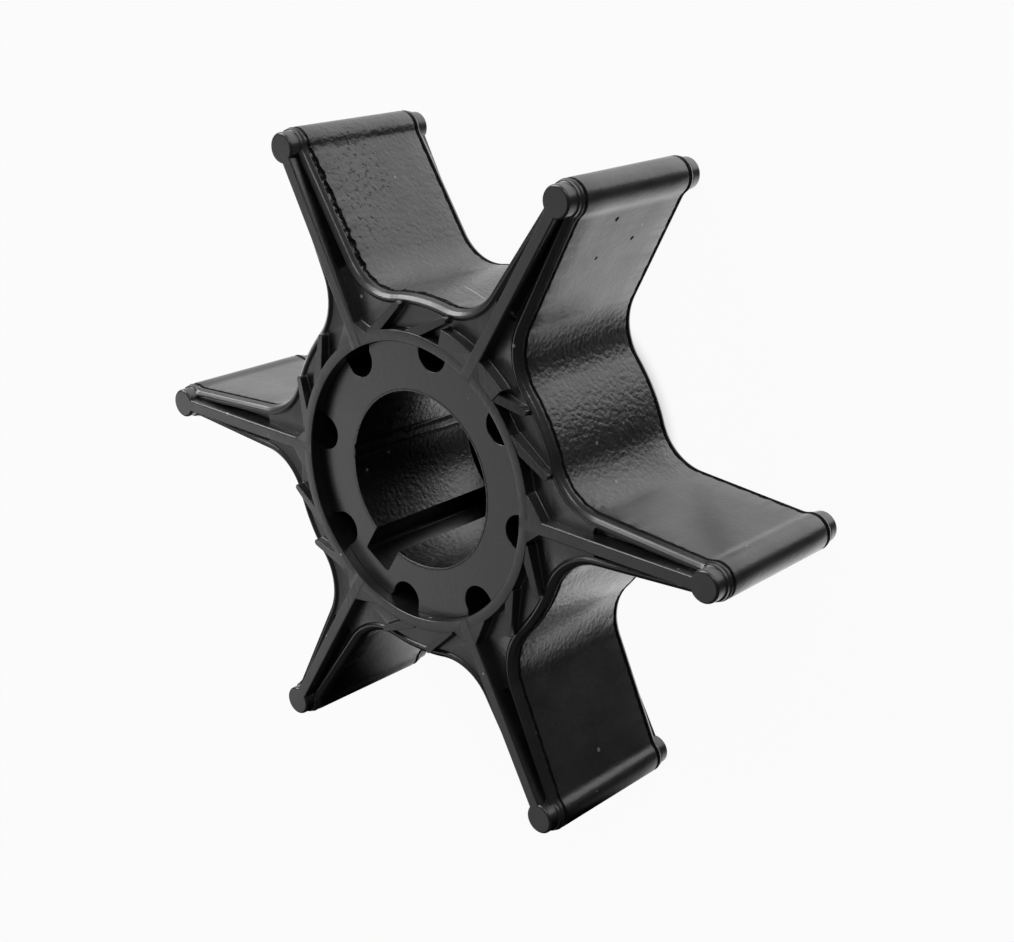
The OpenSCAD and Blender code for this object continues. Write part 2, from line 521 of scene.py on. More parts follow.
    def cap(self) -> list[list[int]]:
        """Faces that close an end: a strip across each vane, its crown, and the hub's disc.

        Returns:
            The faces, as places in the outline, counter-clockwise.
        """
        half, vane, span = self.counts()
        i = np.arange(half - 1)
        strip = np.stack([i, i + 1, vane - 2 - i, vane - 1 - i], 1)
        faces, hub = [], []
        for k in range(self.vane_count):
            first = k * span
            faces += (first + strip).tolist() + [[first + half - 1, first + half, first + half + 1]]
            hub += [first, *range(first + vane - 1, first + span)]
        return faces + [hub]


@dataclass
class RubberBody:
    """The one rubber moulding: hub, vanes with beads, edge shoulders, ribs, knobs, ring, webs, fins, splines."""

    outline: VaneOutline = field(default_factory=VaneOutline)
    height: float = 15.2
    floor_depth: float = 1.0
    shoulder_rise: float = 0.18
    shoulder_w: float = 0.86
    shoulder_top_in: float = 0.50
    rib_w: float = 1.05
    knob_d: float = 2.45
    web_reach: float = 13.9
    web_wide: float = 2.75
    web_narrow: float = 1.75
    parting_in: float = 1.6
    parting_w: float = 0.38
    parting_depth: float = 0.34
    flash: float = 0.05
    # where the front parting line is torn: azimuths in degrees on the hub and along a vane's side, and radii
    torn_at: float = 92.0
    torn_over: float = 22.0
    gaping_side: tuple[float, float] = (100.0, 120.0)
    root_r: float = 17.0
    torn_to_r: float = 27.6
    shoulder_lines: float = 2.0
    shoulder_curve: float = 1.4
    channel_from: float = 17.6
    channel_depth: float = 0.6
    seat_r: float = 11.3
    ring_w: float = 0.9
    fin_tip_r: float = 14.25
    fin_first: float = 16.0
    fin_step: float = 20.0
    fins_in_gap: int = 2
    fin_lean: float = 49.0
    fin_l: float = 4.2
    fin_tip_w: float = 0.5
    fin_root_w: float = 0.9
    fin_drop: float = 0.3
    back_fins_short: float = 0.45
    patch_from: float = 46.0
    patch_to: float = 76.0
    patch_r: float = 13.5
    notch_r: float = 1.4
    notch_at_r: float = 10.7
    notch_first: float = -7.5
    notches: int = 8
    spline_from: float = 4.0
    sunk: float = 0.4
    lip: float = 0.1
    fine: int = 160

    def shoulder(self, rise_steps: int, fall_steps: int, ripple: float) -> Array:
        """Section of the rounded shoulder as (inset, depth below the end face) rows, from the sunk floor outwards.

        Floor to crest is half a cosine wave; crest to side is a quarter of an ellipse whose sine and cosine are
        raised to a power above 1, which flattens its middle. Fine lengthwise lines stand on it as a cosine
        ripple that fades out at both ends.

        Args:
            rise_steps: pieces in the first part.
            fall_steps: pieces in the second part.
            ripple: height of the ripple.

        Returns:
            The rows.
        """
        crest = self.floor_depth - self.shoulder_rise
        side = self.parting_in - self.parting_w / 2
        t = np.linspace(0, 1, rise_steps)
        start = self.shoulder_top_in + 0.06
        rise = np.stack([
            self.shoulder_w + (start - self.shoulder_w) * t,
            self.floor_depth + (crest - self.floor_depth) * (1 - np.cos(math.pi * t)) / 2,
        ], 1)
        a = np.linspace(0, math.pi / 2, fall_steps)
        line = ripple * np.sin(2 * a) ** 2 * np.cos(2 * math.pi * self.shoulder_lines * a / (math.pi / 2))
        fall = np.stack([
            self.shoulder_top_in * (1 - np.sin(a) ** self.shoulder_curve) - line * np.sin(a),
            crest + (side - crest) * (1 - np.clip(np.cos(a), 0, 1) ** self.shoulder_curve) - line * np.cos(a),
        ], 1)
        return np.vstack([rise, fall])

    def parting(self, s: Array, torn: Array, agape: Array, seed: int) -> tuple[Array, Array]:
        """Parting line: a narrow groove with a broken lip of flash along its lower side.

        The groove's width, depth and lower wall wander as sums of cosines along the outline, more so where the
        edge is torn; the lip is the positive part of such a sum.

        Args:
            s: distance along the outline, shape (around,).
            torn: how torn the edge is at each place, 0 to 1.
            agape: how far the groove gapes at each place, 0 to 1.
            seed: seed of the draws.

        Returns:
            The insets and the depths below the end face, each of shape (6, around).
        """
        start = self.parting_in - self.parting_w / 2
        wide = self.parting_w * (1 + 0.7 * agape) + 0.06 * (0.15 + torn) * waves(s, seed, 0.35, 2.2, 24)
        deep = self.parting_depth * (1 + 0.6 * agape)
        bottom = deep * (1 + 0.12 * (0.3 + torn) * waves(s, seed + 1, 0.4, 2.5, 20))
        lip = np.clip(waves(s, seed + 2, 0.35, 2.2, 24) - 0.3, 0, 1.6) * self.flash * torn
        blank = np.zeros_like(s)
        inset = np.stack([blank + 0.03, bottom * 0.85, bottom, bottom * 0.7, 0.02 - lip, blank])
        depth = start + np.stack([
            blank + 0.02, 0.16 * wide, 0.6 * wide, 0.92 * wide, wide + 0.02 - 0.35 * lip, wide + 0.1 + 0.3 * lip])
        return inset, depth

    def block(self) -> Shell:
        """Vanes and hub as one closed skin over the levels of the edge section.

        P(s, t) = (outline at inset(s, t), z(s, t)), where s runs up the section and t round the outline.

        Returns:
            The closed skin.
        """
        flat = self.outline.points(0.0)[0]
        step = np.linalg.norm(np.roll(flat, -1, 0) - flat, axis=1)
        s = np.concatenate([[0], np.cumsum(step)[:-1]])
        r = np.hypot(flat[:, 0], flat[:, 1])
        turn = np.degrees(np.arctan2(flat[:, 1], flat[:, 0]))
        # the front edge is torn most on the hub about one azimuth, gapes along the vane beside it, and is whole on
        # the beads
        hub = np.exp(-(((turn - self.torn_at) / self.torn_over) ** 2)) * (r < self.root_r)
        start, stop = self.gaping_side
        worn = ((turn > start) & (turn < stop) & (r >= self.root_r)) * 0.45
        bead = np.clip((self.torn_to_r - r) / 1.2, 0, 1)
        torn = (0.22 + 1.3 * np.maximum(hub, worn)) * bead
        agape = np.maximum(0.75 * hub, 2.0 * worn) * bead
        parts = []
        for end, (rise, fall, ripple) in ((End.BACK, (4, 7, 0.0)), (End.FRONT, (5, 17, 0.014))):
            edge = self.shoulder(rise, fall, ripple)
            share, gap, seed = (torn, agape, 11) if end is End.FRONT else (0.25 * bead, 0 * bead, 41)
            inset, depth = self.parting(s, share, gap, seed)
            wide = np.ones_like(s)
            inset = np.vstack([edge[:, :1] * wide, inset])
            depth = np.vstack([edge[:, 1:] * wide, depth])
            z = depth if end is End.BACK else self.height - depth
            parts.append((inset, z) if end is End.BACK else (inset[::-1], z[::-1]))
        (low_in, low_z), (high_in, high_z) = parts
        t = np.linspace(0, 1, 7)[1:-1, None]
        run_z = low_z[-1] * (1 - t) + high_z[0] * t
        inset = np.vstack([low_in, 0 * run_z, high_in])
        z = np.vstack([low_z, run_z, high_z])
        return stacked(self.outline.points(inset), z, self.outline.cap())

    def section(self, layer: int, edge: float = 0.08) -> Section:
        """Side of a raised feature of the front end.

        Args:
            layer: how many times its top is set below the end face by the small gap.
            edge: radius of its upper edge.

        Returns:
            The section.
        """
        base = self.height - self.floor_depth
        return Section(base - self.sunk, base, self.height - layer * APART, edge)

    def each_end(self, shells: Sequence[Shell]) -> Shell:
        """Repeats the front end's features on the back, which is the front turned over.

        Args:
            shells: features of the front end.

        Returns:
            All of them with their copies.
        """
        return Shell.joined([*shells, *[shell.flipped(self.height) for shell in shells]])

    def round_the_hub(self, shell: Shell) -> list[Shell]:
        """Repeats a feature for each vane."""
        count = self.outline.vane_count
        return [shell.turned(k * 360 / count) for k in range(count)]

    def channels(self) -> Shell:
        """Cutter of the channels between rib and shoulder: bars that taper with the vanes, from root to knob.

        Returns:
            The cutter of both ends.
        """
        floor = self.height - self.floor_depth
        near, far = self.channel_from, self.outline.tip_r - self.knob_d / 2 - 0.1
        wide, narrow = (self.outline.half_width(r) - self.shoulder_w + 0.02 for r in (near, far))
        bar = rounded_polygon([[near, -wide], [far, -narrow], [far, narrow], [near, wide]], [0.3, 0.08, 0.08, 0.3], 3)
        levels = np.array([floor - self.channel_depth, floor - self.channel_depth + 0.1, floor + 0.3])
        return self.each_end(self.round_the_hub(stacked(bar(np.array([0.1, 0.0, 0.0])), levels)))

    def ribs(self) -> Shell:
        """Ribs along the middle of the vanes: rounded bars from the ring to the knobs.

        Returns:
            The ribs of both ends.
        """
        w, near, far = self.rib_w / 2, self.seat_r - 0.3, self.outline.tip_r
        bar = rounded_polygon([[near, -w], [far, -w], [far, w], [near, w]], [0.3] * 4, 3)
        foot = self.height - self.floor_depth - self.channel_depth
        section = Section(foot - 0.1, foot, self.height - APART, 0.16, 0.1)
        return self.each_end(self.round_the_hub(prism(bar, section)))

    def knobs(self) -> Shell:
        """Round knobs at the ends of the ribs: short rounded cylinders."""
        knob = prism(disc(self.outline.tip_r, 0, self.knob_d / 2, 48), self.section(0, 0.2))
        return self.each_end(self.round_the_hub(knob))

    def webs(self) -> Shell:
        """Webs in the corners between rib and ring: rounded triangles.

        Returns:
            The webs of both ends.
        """
        foot = self.seat_r + self.ring_w / 2
        web = rounded_polygon([[foot, -self.web_narrow], [self.web_reach, 0], [foot, self.web_wide]],
                              [0.2, 0.3, 0.2], 3)
        return self.each_end(self.round_the_hub(prism(web, self.section(3))))

    def ring(self) -> Shell:
        """Ring round the insert at both ends: a lathed rim with a rounded outer edge.

        Returns:
            Both rings.
        """
        ring_r = self.seat_r + self.ring_w
        rows = self.section(2, 0.04).levels()
        rim = np.stack([ring_r - rows[:, 0], rows[:, 1]], 1)
        inner = self.seat_r - 0.6
        profile = np.vstack([rim, [[inner, rows[-1, 1]], [inner, rows[0, 1]]]])
        return self.each_end([lathe(profile, self.fine)])

    def fins(self) -> Shell:
        """Leaning fins round the ring at both ends; the back ones stop short of the shoulder."""
        back = [fin.flipped(self.height) for fin in self.fin_row(self.fin_tip_r - self.back_fins_short)]
        return Shell.joined([*self.fin_row(self.fin_tip_r), *back])

    def fin_row(self, tip_r: float) -> list[Shell]:
        """One end's fins: tapered bars whose tops fall on a cone from the ring to the tips.

        Args:
            tip_r: how far from the axis their tips are.

        Returns:
            The fins.
        """
        tip, root = self.fin_tip_w / 2, self.fin_root_w / 2
        bar = rounded_polygon([[-self.fin_l, -root], [0, -tip], [0, tip], [-self.fin_l, root]],
                              [0.1, 0.22, 0.22, 0.1], 4)
        lean = prism(bar, self.section(4, 0.04)).turned(-self.fin_lean)
        placed = Shell(lean.points + [tip_r, 0, 0], lean.faces)
        ring_r = self.seat_r + self.ring_w
        r = np.hypot(placed.points[:, 0], placed.points[:, 1])
        base = self.height - self.floor_depth
        share = np.clip((placed.points[:, 2] - base) / self.floor_depth, 0, 1)
        fall = self.fin_drop * np.clip((r - ring_r) / (tip_r - ring_r), 0, 1.1)
        placed.points[:, 2] -= share * fall
        gaps = [k * 360 / self.outline.vane_count + self.fin_first for k in range(self.outline.vane_count)]
        return [placed.turned(gap + i * self.fin_step) for gap in gaps for i in range(self.fins_in_gap)]

    def patch(self) -> Shell:
        """Rubber that fills the front relief beside one rib: a sector of a ring.

        Returns:
            The patch.
        """
        start, stop = math.radians(self.patch_from), math.radians(self.patch_to)
        inner = self.seat_r + self.ring_w / 2
        t = np.linspace(0, 1, 25)

        def outline(inset: Union[float, Array]) -> Array:
            """Outer arc at (patch radius - o), then back along the inner arc, which stays.

            Args:
                inset: how far in each level is.

            Returns:
                Points, shape (levels, around, 2), counter-clockwise.
            """
            o = np.atleast_1d(np.asarray(inset, float))[:, None]
            near, far = start + o / self.patch_r, stop - o / self.patch_r
            ahead = near * (1 - t) + far * t
            outer = VaneOutline.arc(np.zeros(2), self.patch_r - o, ahead)
            back = VaneOutline.arc(np.zeros(2), inner + 0 * o, ahead[:, ::-1])
            return np.concatenate([outer, back], 1)

        return prism(outline, self.section(5))

    def seat(self) -> Shell:
        """Seat of the insert: a lathed cutter that flares to rounded lips at the end faces.

        Returns:
            The cutter.
        """
        a = np.linspace(0, math.pi / 2, 5)
        flare = np.stack([self.seat_r + self.lip * (1 - np.cos(a)), self.height - self.lip * (1 - np.sin(a))], 1)
        upper = np.vstack([flare, [[self.seat_r + self.lip, self.height + 1]]])
        lower = (upper * [1, -1] + [0, self.height])[::-1]
        side = np.vstack([lower, upper])
        t = np.arange(self.fine) * 2 * math.pi / self.fine
        unit = np.stack([np.cos(t), np.sin(t)], 1)
        return stacked(side[:, 0][:, None, None] * unit, side[:, 1])

    def splines(self) -> Shell:
        """Splines of rubber that fill the middle of the insert's side notches.

        Returns:
            The splines.
        """
        t = np.linspace(-0.5 * math.pi, -1.5 * math.pi, 17)
        back = np.stack([self.notch_at_r + self.notch_r * np.cos(t), self.notch_r * np.sin(t)], 1)
        far = self.seat_r + self.ring_w / 2
        flat = np.vstack([[[far, self.notch_r], [far, -self.notch_r]], back])[::-1]
        z = np.array([self.spline_from, self.height - self.spline_from])
        one = stacked(np.broadcast_to(flat, (2,) + flat.shape), z)
        return Shell.joined([one.turned(self.notch_first + i * 360 / self.notches) for i in range(self.notches)])

    def build(self) -> bpy.types.Object:
        """Makes the body.

        Returns:
            The object with one closed mesh.
        """
        body = combined(self.block(), [
            (Merge.CUT, self.channels()),
            (Merge.ADD, self.knobs()),
            (Merge.ADD, self.ribs()),
            (Merge.ADD, self.ring()),
            (Merge.ADD, self.webs()),
            (Merge.ADD, self.fins()),
            (Merge.ADD, self.patch()),
            (Merge.CUT, self.seat()),
            (Merge.ADD, self.splines()),
        ], "rubber_moulding")
        smooth(body)
        return body

    def dress(self, piece: bpy.types.Object, rubber: "MouldedRubber") -> None:
        """Gives the body its finish and its place on the frame.

        Args:
            piece: the body's object.
            rubber: its material.
        """
        piece.data.materials.clear()
        piece.data.materials.append(rubber.build())
        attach(piece, "root")
        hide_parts("rubber_body")


# ---- insert -------------------------------------------------------------------------------------


@dataclass
class HubInsert:
    """The moulded bush: bore, keyway and side notches, with small rounds along its edges."""

    height: float = 15.2
    inset_from_end: float = 1.0
    outer_r: float = 11.3
    bore_r: float = 7.15
    key_w: float = 2.8
    key_bottom_r: float = 9.45
    key_turn: float = 240.0
    key_corner: float = 0.25
    notch_r: float = 1.4
    notch_at_r: float = 10.7
    notch_first: float = -7.5
    notches: int = 8
    edge: float = 0.06
    clear: float = 0.004
    # lines that the core pin drew in the bore: azimuth in degrees, half width and depth in millimetres
    draw_lines: tuple[tuple[float, float, float], ...] = (
        (172.0, 0.20, 0.14),
        (179.6, 0.10, 0.06),
        (239.0, 0.12, 0.05),
    )

    def outer(self, inset: Array) -> Array:
        """Outer outline with its notches, moved in by the inset.

        Between notches it is a circle of radius (outer - o); each notch has straight sides at (notch radius + o)
        from its middle line and ends in a half circle of radius (notch radius + o).

        Args:
            inset: how far in each level is, shape (levels,).

        Returns:
            Points, shape (levels, around, 2), counter-clockwise.
        """
        o = np.atleast_1d(np.asarray(inset, float))[:, None]
        big, small = self.outer_r - self.clear - o, self.notch_r + o
        mouth = np.arcsin(small / big)
        pitch = 2 * math.pi / self.notches
        t = np.linspace(0, 1, 21)
        rim = VaneOutline.arc(np.zeros(2), big, mouth * (1 - t) + (pitch - mouth) * t)
        a = np.linspace(1.5 * math.pi, 0.5 * math.pi, 19)
        bottom = VaneOutline.arc(np.array([self.notch_at_r, 0.0]), small, a)
        span = np.concatenate([bottom, rim[:, :-1]], 1)
        first = math.radians(self.notch_first)
        return np.concatenate([spun(span, first + k * pitch) for k in range(self.notches)], 1)

    def inner(self, inset: Array) -> Array:
        """Outline of the bore with its keyway, moved into the material by the inset.

        A circle of radius (bore + o), with a bell-shaped groove at each draw line, and a slot whose sides are at
        (half the key's width + o) and whose bottom is at (bottom's distance + o).

        Args:
            inset: how far out each level is, shape (levels,).

        Returns:
            Points, shape (levels, around, 2), counter-clockwise.
        """
        o = np.atleast_1d(np.asarray(inset, float))[:, None]
        r, w, deep = self.bore_r + o, self.key_w / 2 + o, self.key_bottom_r + o
        mouth = np.arcsin(w / r)
        t = np.linspace(0, 1, 481)
        angle = mouth * (1 - t) + (2 * math.pi - mouth) * t
        for azimuth, half, depth in self.draw_lines:
            away = (angle - math.radians(azimuth - self.key_turn)) % (2 * math.pi) * self.bore_r
            away = np.minimum(away, 2 * math.pi * self.bore_r - away)
            r = r + depth * np.exp(-((away / half) ** 2))
        round_part = VaneOutline.arc(np.zeros(2), r, angle)
        a = np.linspace(-0.5 * math.pi, 0, 5)
        corner = self.key_corner + 0 * o
        low = np.stack([
            deep - self.key_corner + corner * np.cos(a), -w + self.key_corner + corner * np.sin(a)], -1)
        slot = np.concatenate([low, (low * [1, -1])[:, ::-1]], 1)
        return spun(np.concatenate([round_part, slot], 1), math.radians(self.key_turn))

    def build(self) -> bpy.types.Object:
        """Makes the insert: the outer loft less a cutter that flares to the rounds of the bore's edges.

        Returns:
            The object with one closed mesh.
        """
        low, high = self.inset_from_end, self.height - self.inset_from_end
        a = np.linspace(0, math.pi / 2, 5)
        upper = np.stack([self.edge * (1 - np.cos(a)), high - self.edge * (1 - np.sin(a))], 1)
        lower = (upper * [1, -1] + [0, low + high])[::-1]
        side = np.vstack([lower, upper])
        outside = stacked(self.outer(side[:, 0]), side[:, 1])
        cut = np.vstack([[[self.edge, low - 1]], side, [[self.edge, high + 1]]])
        inside = stacked(self.inner(cut[:, 0]), cut[:, 1])
        body = combined(outside, [(Merge.CUT, inside)], "keyed_insert")
        smooth(body)
        return body

    def dress(self, piece: bpy.types.Object, plastic: "MouldedPlastic") -> None:
        """Gives the insert its finish and its place on the frame.

        Args:
            piece: the insert's object.
            plastic: its material.
        """
        piece.data.materials.clear()
        piece.data.materials.append(plastic.build())
        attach(piece, "root")
        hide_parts("hub_insert")


# ---- materials ----------------------------------------------------------------------------------


def linear(hex_colour: str) -> tuple[float, float, float, float]:
    """Turns an sRGB hex colour into linear numbers.

    Args:
        hex_colour: such as "#1c1c1d".

    Returns:
        Red, green, blue and alpha.
    """
    parts = [int(hex_colour[i:i + 2], 16) / 255 for i in (1, 3, 5)]
    lin = [c / 12.92 if c <= 0.04045 else ((c + 0.055) / 1.055) ** 2.4 for c in parts]
    return lin[0], lin[1], lin[2], 1.0


def add(tree: Tree, kind: str, inputs: Optional[dict[Union[str, int], Any]] = None, **settings: Any) -> Sockets:
    """Adds one node with its settings and links.

    Args:
        tree: the node tree.
        kind: the node's type, without its first word.
        inputs: what goes into each socket: a value, or another node's output socket to link.
        settings: properties by name.

    Returns:
        The node's output sockets.
    """
    node = tree.nodes.new(f"ShaderNode{kind}")
    for name, value in settings.items():
        setattr(node, name, value)
    for key, value in (inputs or {}).items():
        if isinstance(value, Socket):
            tree.links.new(value, node.inputs[key])
        else:
            node.inputs[key].default_value = value
    return node.outputs


def new_material(name: str) -> tuple[bpy.types.Material, Tree, Socket]:
    """Makes an empty material.

    Args:
        name: the material's name.

    Returns:
        The material, its tree, and the socket with the place on the piece.
    """
    material = bpy.data.materials.new(name)
    material.use_nodes = True
    tree = material.node_tree
    tree.nodes.clear()
    return material, tree, add(tree, "TexCoord")["Object"]


@dataclass(frozen=True)
class Fade:
    """A soft step of a value, from low at its start to high at its stop."""

    start: float
    stop: float
    low: float = 0.0
    high: float = 1.0

    def over(self, value: Socket) -> dict[str, Any]:
        """What goes into the sockets of a range node so that it makes the step."""
        return {"Value": value, "From Min": self.start, "From Max": self.stop, "To Min": self.low, "To Max": self.high}


@dataclass(frozen=True)
class Dust:
    """Pale specks: a dot in some cells of a cell pattern."""

    colour: str
    apart_mm: float
    share: float = 0.5
    largest: float = 0.095

    def of(self, tree: Tree, place: Socket) -> Socket:
        """Adds the dust to a tree.

        Args:
            tree: the tree that gets the nodes.
            place: the place on the piece.

        Returns:
            1 on a speck and 0 elsewhere.
        """
        cells = add(tree, "TexVoronoi", {"Vector": place, "Scale": 1 / (self.apart_mm * MM)})
        pick = add(tree, "SeparateColor", {0: cells["Color"]})[0]
        size = add(tree, "MapRange", {"Value": pick, "From Min": 1 - self.share, "To Max": self.largest})[0]
        return add(tree, "Math", {0: cells["Distance"], 1: size}, operation="LESS_THAN")[0]


@dataclass(frozen=True)
class Mark:
    """A mark inside an ellipsoid: a dent, a raised scratch, or a pale streak that is a painted highlight, and how pale
    or, below 0, how dull it is.

    at and half are the ellipsoid's middle and half axes, turn its turn about Z and lean its slope along itself.
    Where broken is above 0, only the parts where a noise of that size is high are scarred.
    """

    at: tuple[float, float, float]
    half: tuple[float, float, float]
    turn: float
    lean: float
    broken: float
    depth: float
    pale: float

    def of(self, tree: Tree, place: Socket) -> Socket:
        """Adds the mark, a dent, a scratch or a painted highlight, to a tree.

        Args:
            tree: the tree that gets the nodes.
            place: the place on the piece.

        Returns:
            1 in the middle of the ellipsoid, falling to 0 at its surface.
        """
        own = add(tree, "Mapping", {
            "Vector": place, "Location": tuple(c * MM for c in self.at),
            "Rotation": (0.0, math.radians(self.lean), math.radians(self.turn)),
            "Scale": tuple(c * MM for c in self.half)}, vector_type="TEXTURE")[0]
        away = add(tree, "VectorMath", {0: own}, operation="LENGTH")["Value"]
        inside = add(tree, "MapRange", Fade(0.45, 1.0, 1.0, 0.0).over(away), **SOFT)[0]
        if not self.broken:
            return inside
        rags = add(tree, "TexNoise", {
            "Vector": place, "Scale": 1 / (self.broken * MM), "Detail": 2.0, "Roughness": 0.6})["Fac"]
        parts = add(tree, "MapRange", Fade(0.55, 0.66).over(rags), **SOFT)[0]
        return add(tree, "Math", {0: inside, 1: parts}, operation="MULTIPLY")[0]


@dataclass(frozen=True)
class MouldedRubber:
    """Black nitrile rubber from a steel mould: satin, faintly oily, with the mould's fine grain in it.

    The grain is full on the hub's wall, nearly so on the vane that is worn rough, weak on the other vanes, and
    almost gone on the two ends. Lengths are in millimetres, roughness goes from the smooth clouds to the dull ones.
    """

    base: str = "#121213"
    worn: str = "#1b1b1c"
    dust: Dust = Dust("#a9a8a2", 2.0)
    grain_mm: float = 0.34
    grain_height_mm: float = 0.055
    pebble_mm: float = 0.42
    pebble_share: float = -0.6
    wave_mm: float = 1.3
    wave_height_mm: float = 0.03
    cloud_mm: float = 3.0
    # the hub's end along a radius, the worn vane's start along itself, and the walls' end from the middle height
    hub_end: Fade = Fade(15.8 * MM, 18.5 * MM, 1.0, 0.22)
    worn_start: Fade = Fade(14.5 * MM, 17.5 * MM, 0.0, 0.75)
    wall_end: Fade = Fade(5.8 * MM, 6.3 * MM, 1.0, 0.2)
    worn_vane: float = 120.0
    roughness: tuple[float, float] = (0.31, 0.50)
    dull_roughness: float = 0.5
    # nitrile's own index is about 1.52; its oily skin mirrors more, which these give
    ior: float = 1.68
    skin_ior: float = 1.62
    skin_roughness: float = 0.25
    marks: tuple[Mark, ...] = (
        Mark((-11.2, 22.9, 9.6), (5.0, 1.0, 4.3), 120.0, 0.0, 0.42, 0.03, -0.35),
        Mark((-9.0, 18.2, 11.6), (4.2, 1.0, 2.6), 120.0, 0.0, 0.5, 0.035, -0.3),
        Mark((14.4, 22.2, 8.8), (0.24, 0.5, 0.24), 60.0, 0.0, 0.0, 0.12, -1.0),
        Mark((13.4, 20.2, 5.7), (0.22, 0.5, 0.22), 60.0, 0.0, 0.0, 0.12, -1.0),
        Mark((12.9, 19.2, 9.2), (0.18, 0.5, 0.18), 60.0, 0.0, 0.0, 0.12, -0.9),
        Mark((2.1, 14.8, 10.1), (2.6, 0.6, 0.13), -8.0, -14.0, 0.0, -0.03, 1.0),
        # a pale streak without depth along the ring's outer top edge: a painted highlight where the edge catches the
        # light
        Mark((-1.5, 12.25, 15.1), (1.7, 0.22, 0.30), 8.0, 0.0, 0.0, 0.0, 0.7),
    )

    def build(self) -> bpy.types.Material:
        """Makes the material.

        Returns:
            The material.
        """
        material, tree, place = new_material("moulded_nitrile_rubber")
        cloud = add(tree, "TexNoise", {
            "Vector": place, "Scale": 1 / (self.cloud_mm * MM), "Detail": 5.0, "Roughness": 0.62})["Fac"]
        tone = add(tree, "MapRange", {"Value": cloud, "From Min": 0.35, "From Max": 0.7})[0]
        colour = add(tree, "Mix", {0: tone, 6: linear(self.base), 7: linear(self.worn)}, data_type="RGBA")[2]
        scars_and_highlight = [mark.of(tree, place) for mark in self.marks]
        # pale specks and streaks: dust, a raised pale scratch, and the painted highlight on the ring's edge
        dust: Level = self.dust.of(tree, place)
        dull: Level = 0.0
        for mark, scar_or_highlight in zip(self.marks, scars_and_highlight):
            share = add(tree, "Math", {0: scar_or_highlight, 1: abs(mark.pale)}, operation="MULTIPLY")[0]
            if mark.pale > 0:
                dust = add(tree, "Math", {0: share, 1: dust}, operation="MAXIMUM")[0]
            else:
                dull = add(tree, "Math", {0: share, 1: dull}, operation="MAXIMUM")[0]
        dusty = add(tree, "Mix", {0: dust, 6: colour, 7: linear(self.dust.colour)}, data_type="RGBA")[2]
        smooth_part, dull_part = self.roughness
        rough = add(tree, "MapRange", {
            "Value": cloud, "From Min": 0.3, "From Max": 0.7, "To Min": smooth_part, "To Max": dull_part})[0]
        rough = add(tree, "Math", {0: dull, 1: self.dull_roughness, 2: rough}, operation="MULTIPLY_ADD")[0]
        skin = add(tree, "Math", {0: 1.0, 1: dull}, operation="SUBTRACT")[0]
        bump = add(tree, "Bump", {"Height": self.height(tree, place, scars_and_highlight), "Strength": 1.0, "Distance": MM})[0]
        shader = add(tree, "BsdfPrincipled", {
            "Base Color": dusty, "Roughness": rough, "Normal": bump, "IOR": self.ior,
            "Coat Weight": skin, "Coat Roughness": self.skin_roughness, "Coat IOR": self.skin_ior,
            "Coat Normal": bump})
        add(tree, "OutputMaterial", {"Surface": shader[0]})
        return material

    def coarseness(self, tree: Tree, place: Socket) -> Socket:
        """How strong the mould's grain is at a place.

        Args:
            tree: the tree that gets the nodes.
            place: the place on the piece.

        Returns:
            The socket with the share.
        """
        flat = add(tree, "VectorMath", {0: place, 1: (1, 1, 0)}, operation="MULTIPLY")[0]
        r = add(tree, "VectorMath", {0: flat}, operation="LENGTH")["Value"]
        a = math.radians(self.worn_vane)
        along = add(tree, "VectorMath", {0: flat, 1: (math.cos(a), math.sin(a), 0)}, operation="DOT_PRODUCT")["Value"]
        hub = add(tree, "MapRange", self.hub_end.over(r), **SOFT)[0]
        worn = add(tree, "MapRange", self.worn_start.over(along), **SOFT)[0]
        most = add(tree, "Math", {0: hub, 1: worn}, operation="MAXIMUM")[0]
        z = add(tree, "SeparateXYZ", {0: place})["Z"]
        middle = add(tree, "Math", {0: z, 1: MIDDLE * MM}, operation="SUBTRACT")[0]
        away = add(tree, "Math", {0: middle}, operation="ABSOLUTE")[0]
        wall = add(tree, "MapRange", self.wall_end.over(away), **SOFT)[0]
        return add(tree, "Math", {0: most, 1: wall}, operation="MULTIPLY")[0]

    def height(self, tree: Tree, place: Socket, scars_and_highlight: Sequence[Socket]) -> Socket:
        """Height of the surface in millimetres: noise, pebbles and slow waves of the mould, and the dents and
        scratches of the marks.

        Args:
            tree: the tree that gets the nodes.
            place: the place on the piece.
            scars_and_highlight: where each mark is, the painted highlight on the ring among them.

        Returns:
            The socket with the height.
        """
        grain, wave = (add(tree, "TexNoise", {
            "Vector": place, "Scale": 1 / (size * MM), "Detail": detail, "Roughness": rough})["Fac"]
            for size, detail, rough in ((self.grain_mm, 3.0, 0.6), (self.wave_mm, 2.0, 0.5)))
        pebble = add(tree, "TexVoronoi", {"Vector": place, "Scale": 1 / (self.pebble_mm * MM)})["Distance"]
        mould: Level = grain
        for value, size in ((pebble, self.pebble_share), (wave, self.wave_height_mm / self.grain_height_mm)):
            mould = add(tree, "Math", {0: value, 1: size, 2: mould}, operation="MULTIPLY_ADD")[0]
        coarse = add(tree, "Math", {0: mould, 1: self.coarseness(tree, place)}, operation="MULTIPLY")[0]
        total: Level = 0.0
        layers = [(coarse, self.grain_height_mm)]
        layers += [(scar_or_highlight, -mark.depth) for scar_or_highlight, mark in zip(scars_and_highlight, self.marks) if mark.depth]
        for value, size in layers:
            total = add(tree, "Math", {0: value, 1: size, 2: total}, operation="MULTIPLY_ADD")[0]
        return total


